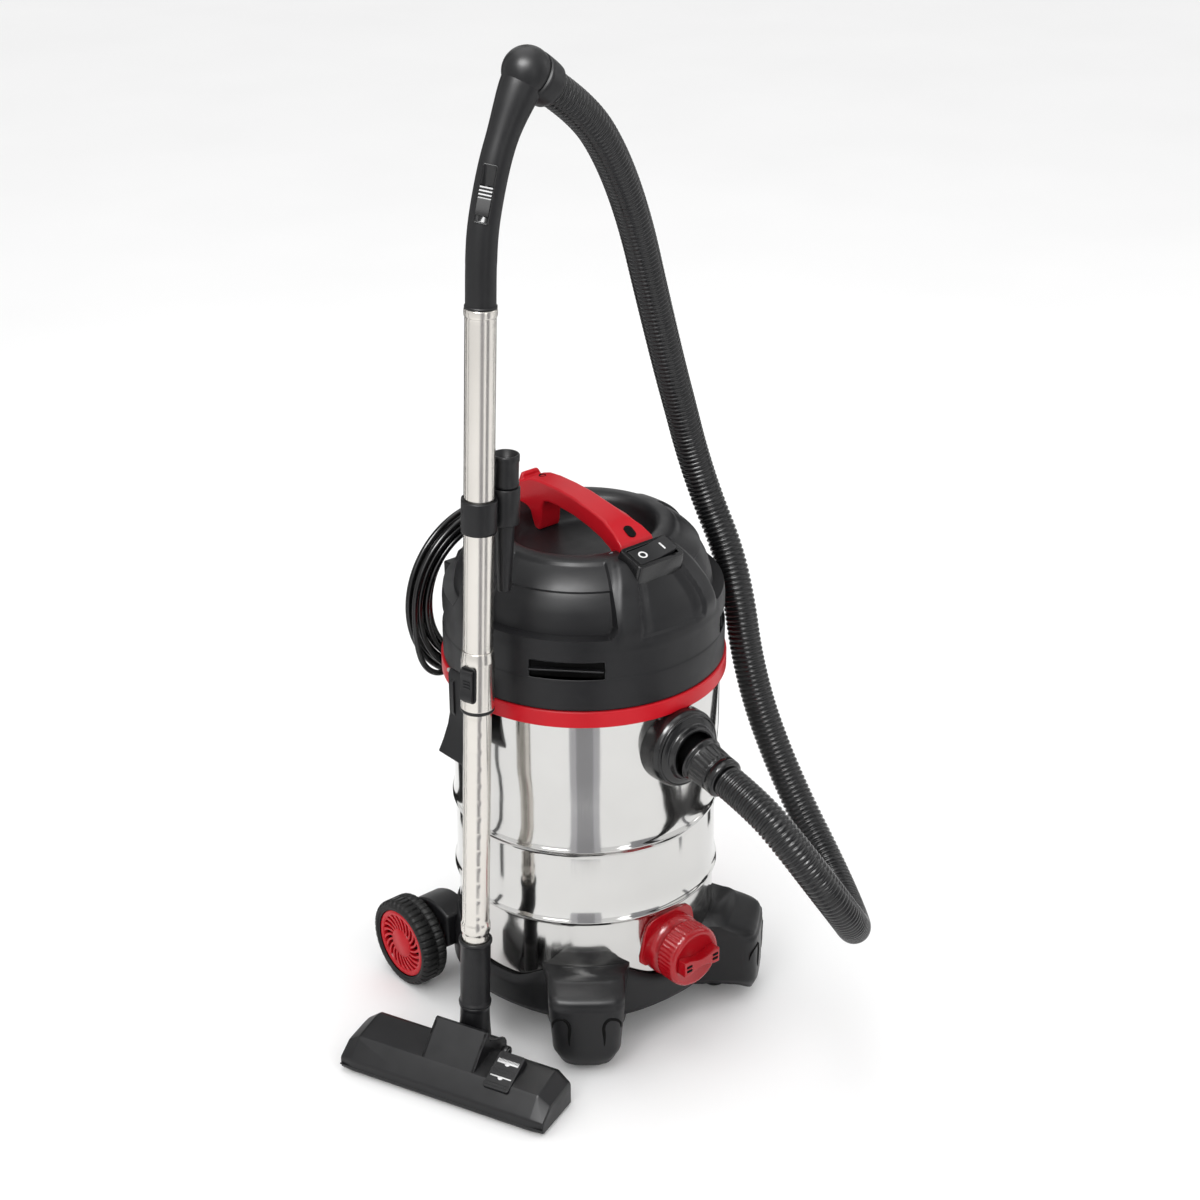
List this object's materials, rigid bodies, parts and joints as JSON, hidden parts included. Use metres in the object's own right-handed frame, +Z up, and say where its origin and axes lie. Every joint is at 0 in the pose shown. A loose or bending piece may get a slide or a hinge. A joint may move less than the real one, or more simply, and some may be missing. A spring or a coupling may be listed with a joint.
{
  "type": "shop vacuum",
  "caption": "Wet and dry canister vacuum: steel drum on a wheeled base, lift-off motor head with side latches, corrugated hose, and a telescopic wand with floor nozzle standing beside it.",
  "frame": {"origin": "on the floor, under the centre of the bounding box of the vacuum and its parked wand, without the hose and the power cable", "axes": "+Z up; the hose inlet and the drain face -Y; the rear wheels are at +Y; the parked wand stands on the -X side"},
  "size_m": [0.6162, 0.6467, 1.2761],
  "materials": {
    "steel": "polished stainless sheet",
    "warm_steel": "brushed tube",
    "red": "glossy",
    "black": "satin moulded",
    "gloss_black": "glossy corrugated",
    "grey_plastic": "satin",
    "rubber": "matt",
    "tyre": "matt tread",
    "zinc": "zinc plated",
    "filter_paper": "pleated paper",
    "motor_case": "painted",
    "brush": "bristles"
  },
  "bodies": {
    "drum": {"drum": "steel", "rim_band": "red", "base": "black", "rear_axle": "zinc", "inlet_flange": "black", "inlet_gasket": "rubber", "drain_port": "red", "hose": "gloss_black", "inner_tube": "warm_steel", "wand_cuff": "black"},
    "hose_cuff": {"hose_cuff": "black"},
    "drain_cap": {"drain_cap": "red"},
    "left_wheel": {"left_tyre": "tyre", "left_wheel_disc": "red"},
    "right_wheel": {"right_tyre": "tyre", "right_wheel_disc": "red"},
    "left_caster": {"left_caster_fork": "black", "left_caster_pin": "zinc"},
    "right_caster": {"right_caster_fork": "black", "right_caster_pin": "zinc"},
    "left_caster_roll": {"left_caster_wheel": "black"},
    "right_caster_roll": {"right_caster_wheel": "black"},
    "head": {"head_cover": "black", "head_floor": "black", "lid_gasket": "rubber", "motor": "motor_case", "fan_housing": "black", "float_cage": "black", "filter_cartridge": "filter_paper", "switch_box": "black", "handle": "red", "handle_screws": "zinc", "latch_pins": "zinc", "blow_port": "black", "cable_hook": "black", "strain_relief": "black", "power_lead": "gloss_black", "cable_coil": "gloss_black", "power_tail": "gloss_black", "plug": "gloss_black"},
    "left_latch": {"left_latch": "black"},
    "right_latch": {"right_latch": "black"},
    "rocker": {"switch_rocker": "black"},
    "impeller": {"impeller": "black"},
    "float_ball": {"float_ball": "black"},
    "filter_knob": {"filter_knob": "black"},
    "upper_wand": {"outer_tube": "warm_steel", "tube_collar": "black", "tool_holder": "black", "grip": "black"},
    "tube_button": {"tube_button": "grey_plastic"},
    "crevice_tool": {"crevice_tool": "black"},
    "air_slider": {"air_slider": "black"},
    "neck": {"nozzle_neck": "black"},
    "nozzle": {"nozzle_body": "black", "sole_plate": "steel"},
    "pedal": {"nozzle_pedal": "black"},
    "brushes": {"brush_strips": "brush"},
    "far_roller": {"far_nozzle_wheel": "black"},
    "near_roller": {"near_nozzle_wheel": "black"}
  },
  "joints": [
    {"name": "hose_cuff_turn", "type": "hinge", "parent": "drum", "child": "hose_cuff", "pos_m": [0.085, -0.1851, 0.424], "axis": [0, -0.9781, -0.2079], "continuous": true},
    {"name": "drain_cap_turn", "type": "hinge", "parent": "drum", "child": "drain_cap", "pos_m": [0.085, -0.1791, 0.13], "axis": [0, -1, 0], "range_deg": [0, 90]},
    {"name": "left_wheel_spin", "type": "hinge", "parent": "drum", "child": "left_wheel", "pos_m": [-0.104, 0.1619, 0.06], "axis": [1, 0, 0], "continuous": true},
    {"name": "left_caster_swivel", "type": "hinge", "parent": "drum", "child": "left_caster", "pos_m": [-0.03713, -0.12465, 0.05], "axis": [0, 0, 1], "continuous": true},
    {"name": "left_caster_spin", "type": "hinge", "parent": "left_caster", "child": "left_caster_roll", "pos_m": [-0.0405, -0.13926, 0.02], "axis": [0.9744, -0.225, 0], "continuous": true},
    {"name": "right_wheel_spin", "type": "hinge", "parent": "drum", "child": "right_wheel", "pos_m": [0.274, 0.1619, 0.06], "axis": [1, 0, 0], "continuous": true},
    {"name": "right_caster_swivel", "type": "hinge", "parent": "drum", "child": "right_caster", "pos_m": [0.20713, -0.12465, 0.05], "axis": [0, 0, 1], "continuous": true},
    {"name": "right_caster_spin", "type": "hinge", "parent": "right_caster", "child": "right_caster_roll", "pos_m": [0.19414, -0.11715, 0.02], "axis": [-0.5, -0.866, 0], "continuous": true},
    {"name": "head_lift", "type": "slide", "parent": "drum", "child": "head", "axis": [0, 0, 1], "range_m": [0, 0.1]},
    {"name": "left_latch_swing", "type": "hinge", "parent": "head", "child": "left_latch", "pos_m": [-0.1, 0.0209, 0.506], "axis": [0, -1, 0], "range_deg": [-80, 0]},
    {"name": "right_latch_swing", "type": "hinge", "parent": "head", "child": "right_latch", "pos_m": [0.27, 0.0209, 0.506], "axis": [0, 1, 0], "range_deg": [-80, 0]},
    {"name": "switch_press", "type": "hinge", "parent": "head", "child": "rocker", "pos_m": [0.085, -0.10685, 0.66374], "axis": [0, 0.9563, 0.2924], "range_deg": [0, 14]},
    {"name": "impeller_spin", "type": "hinge", "parent": "head", "child": "impeller", "pos_m": [0.085, 0.0209, 0.508], "axis": [0, 0, 1], "continuous": true},
    {"name": "float_rise", "type": "slide", "parent": "head", "child": "float_ball", "axis": [0, 0, 1], "range_m": [0, 0.04]},
    {"name": "filter_knob_turn", "type": "hinge", "parent": "head", "child": "filter_knob", "pos_m": [0.085, 0.0209, 0.326], "axis": [0, 0, 1], "range_deg": [0, 90]},
    {"name": "tube_extend", "type": "slide", "parent": "drum", "child": "upper_wand", "axis": [0.0443, 0, 0.999], "range_m": [0, 0.28]},
    {"name": "tube_button_slide", "type": "slide", "parent": "upper_wand", "child": "tube_button", "axis": [-0.0443, 0, -0.999], "range_m": [0, 0.006], "stiffness_N_per_m": 400},
    {"name": "crevice_tool_lift", "type": "slide", "parent": "upper_wand", "child": "crevice_tool", "axis": [0.0443, 0, 0.999], "range_m": [0, 0.14]},
    {"name": "air_slider_move", "type": "slide", "parent": "upper_wand", "child": "air_slider", "axis": [-0.1829, 0, -0.9831], "range_m": [0, 0.006]},
    {"name": "neck_swivel", "type": "hinge", "parent": "drum", "child": "neck", "pos_m": [-0.15531, -0.0471, 0.08991], "axis": [0.0443, 0, 0.999], "range_deg": [-45, 4]},
    {"name": "nozzle_tilt", "type": "hinge", "parent": "neck", "child": "nozzle", "pos_m": [-0.1578, -0.0471, 0.035], "axis": [0.3697, -0.9291, 0], "range_deg": [0, 60]},
    {"name": "pedal_press", "type": "hinge", "parent": "nozzle", "child": "pedal", "pos_m": [-0.17411, -0.13323, 0.036], "axis": [0.3697, -0.9291, 0], "range_deg": [-8, 0]},
    {"name": "brush_lift", "type": "slide", "parent": "nozzle", "child": "brushes", "axis": [0, 0, 1], "range_m": [0, 0.004]},
    {"name": "far_roller_spin", "type": "hinge", "parent": "nozzle", "child": "far_roller", "pos_m": [-0.21169, 0.03693, 0.007], "axis": [0.3697, -0.9291, 0], "continuous": true},
    {"name": "near_roller_spin", "type": "hinge", "parent": "nozzle", "child": "near_roller", "pos_m": [-0.13922, -0.14518, 0.007], "axis": [0.3697, -0.9291, 0], "continuous": true}
  ],
  "couplings": [
    {"joint": "brush_lift", "follows": "pedal_press", "m_per_rad": -0.028648}
  ]
}
